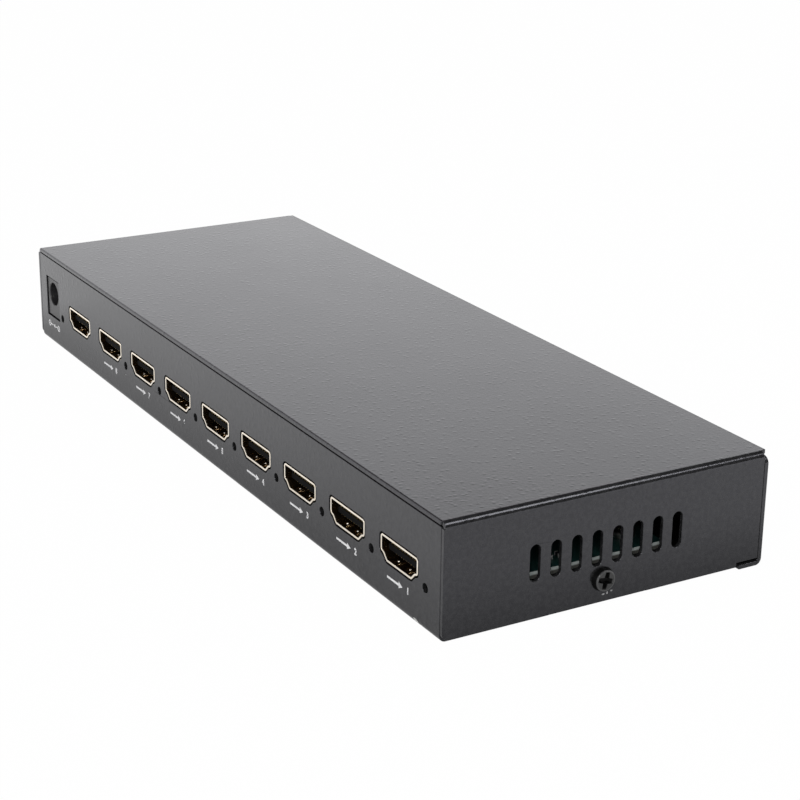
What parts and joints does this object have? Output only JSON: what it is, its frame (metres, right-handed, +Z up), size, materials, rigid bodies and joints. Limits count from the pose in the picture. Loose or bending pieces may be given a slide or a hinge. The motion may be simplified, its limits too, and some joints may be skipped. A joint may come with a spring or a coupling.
{
  "type": "video splitter",
  "caption": "Slim black sheet-steel video splitter box with a row of gold-shelled digital video sockets, a barrel power jack, small indicator holes and slotted end flaps.",
  "frame": {"origin": "centre of the underside, where the box rests", "axes": "+X along the length, -Y out of the port wall, +Z up"},
  "size_m": [0.2234, 0.0794, 0.0259],
  "materials": {
    "case_paint": "satin black powder coat",
    "screw_black": "black oxide",
    "port_gold": "gold plate",
    "port_plastic": "moulded black",
    "contact_gold": "gold plate",
    "jack_plastic": "moulded black",
    "nickel": "nickel plate",
    "board": "green solder mask",
    "standoff_brass": "turned brass",
    "led_lens": "milky lens",
    "chip": "moulded epoxy",
    "ferrite": "pressed ferrite",
    "ceramic": "fired ceramic"
  },
  "bodies": {
    "case": {"base_tray": "case_paint", "top_cover": "case_paint", "main_board": "board", "board_standoffs": "standoff_brass", "board_screws": "nickel", "input_port_shell": "port_gold", "output_1_port_shell": "port_gold", "output_2_port_shell": "port_gold", "output_3_port_shell": "port_gold", "output_4_port_shell": "port_gold", "output_5_port_shell": "port_gold", "output_6_port_shell": "port_gold", "output_7_port_shell": "port_gold", "output_8_port_shell": "port_gold", "input_port_tongue": "port_plastic", "output_1_port_tongue": "port_plastic", "output_2_port_tongue": "port_plastic", "output_3_port_tongue": "port_plastic", "output_4_port_tongue": "port_plastic", "output_5_port_tongue": "port_plastic", "output_6_port_tongue": "port_plastic", "output_7_port_tongue": "port_plastic", "output_8_port_tongue": "port_plastic", "input_port_contacts": "contact_gold", "output_1_port_contacts": "contact_gold", "output_2_port_contacts": "contact_gold", "output_3_port_contacts": "contact_gold", "output_4_port_contacts": "contact_gold", "output_5_port_contacts": "contact_gold", "output_6_port_contacts": "contact_gold", "output_7_port_contacts": "contact_gold", "output_8_port_contacts": "contact_gold", "dc_jack_housing": "jack_plastic", "dc_jack_pin": "nickel", "dc_jack_terminal": "nickel", "power_led": "led_lens", "output_leds": "led_lens", "input_chip": "chip", "output_chip_left": "chip", "output_chip_right": "chip", "memory_chip": "chip", "clock_crystal": "nickel", "power_inductor": "ferrite", "voltage_regulator": "chip", "supply_capacitors": "nickel", "bypass_capacitors": "ceramic", "end_resistors": "chip"},
    "cover_screw_left": {"cover_screw_left": "screw_black"},
    "cover_screw_right": {"cover_screw_right": "screw_black"},
    "dc_jack_spring": {"dc_jack_spring": "nickel"}
  },
  "joints": [
    {"name": "cover_screw_left_turn", "type": "hinge", "parent": "case", "child": "cover_screw_left", "pos_m": [-0.11045, -0.0019, 0.0059], "axis": [-1, 0, 0], "continuous": true},
    {"name": "cover_screw_right_turn", "type": "hinge", "parent": "case", "child": "cover_screw_right", "pos_m": [0.11045, -0.0019, 0.0059], "axis": [1, 0, 0], "continuous": true},
    {"name": "dc_jack_spring_flex", "type": "hinge", "parent": "case", "child": "dc_jack_spring", "pos_m": [-0.1003, -0.02985, 0.01075], "axis": [1, 0, 0], "range_deg": [0, 8], "stiffness_Nm_per_rad": 0.1}
  ]
}
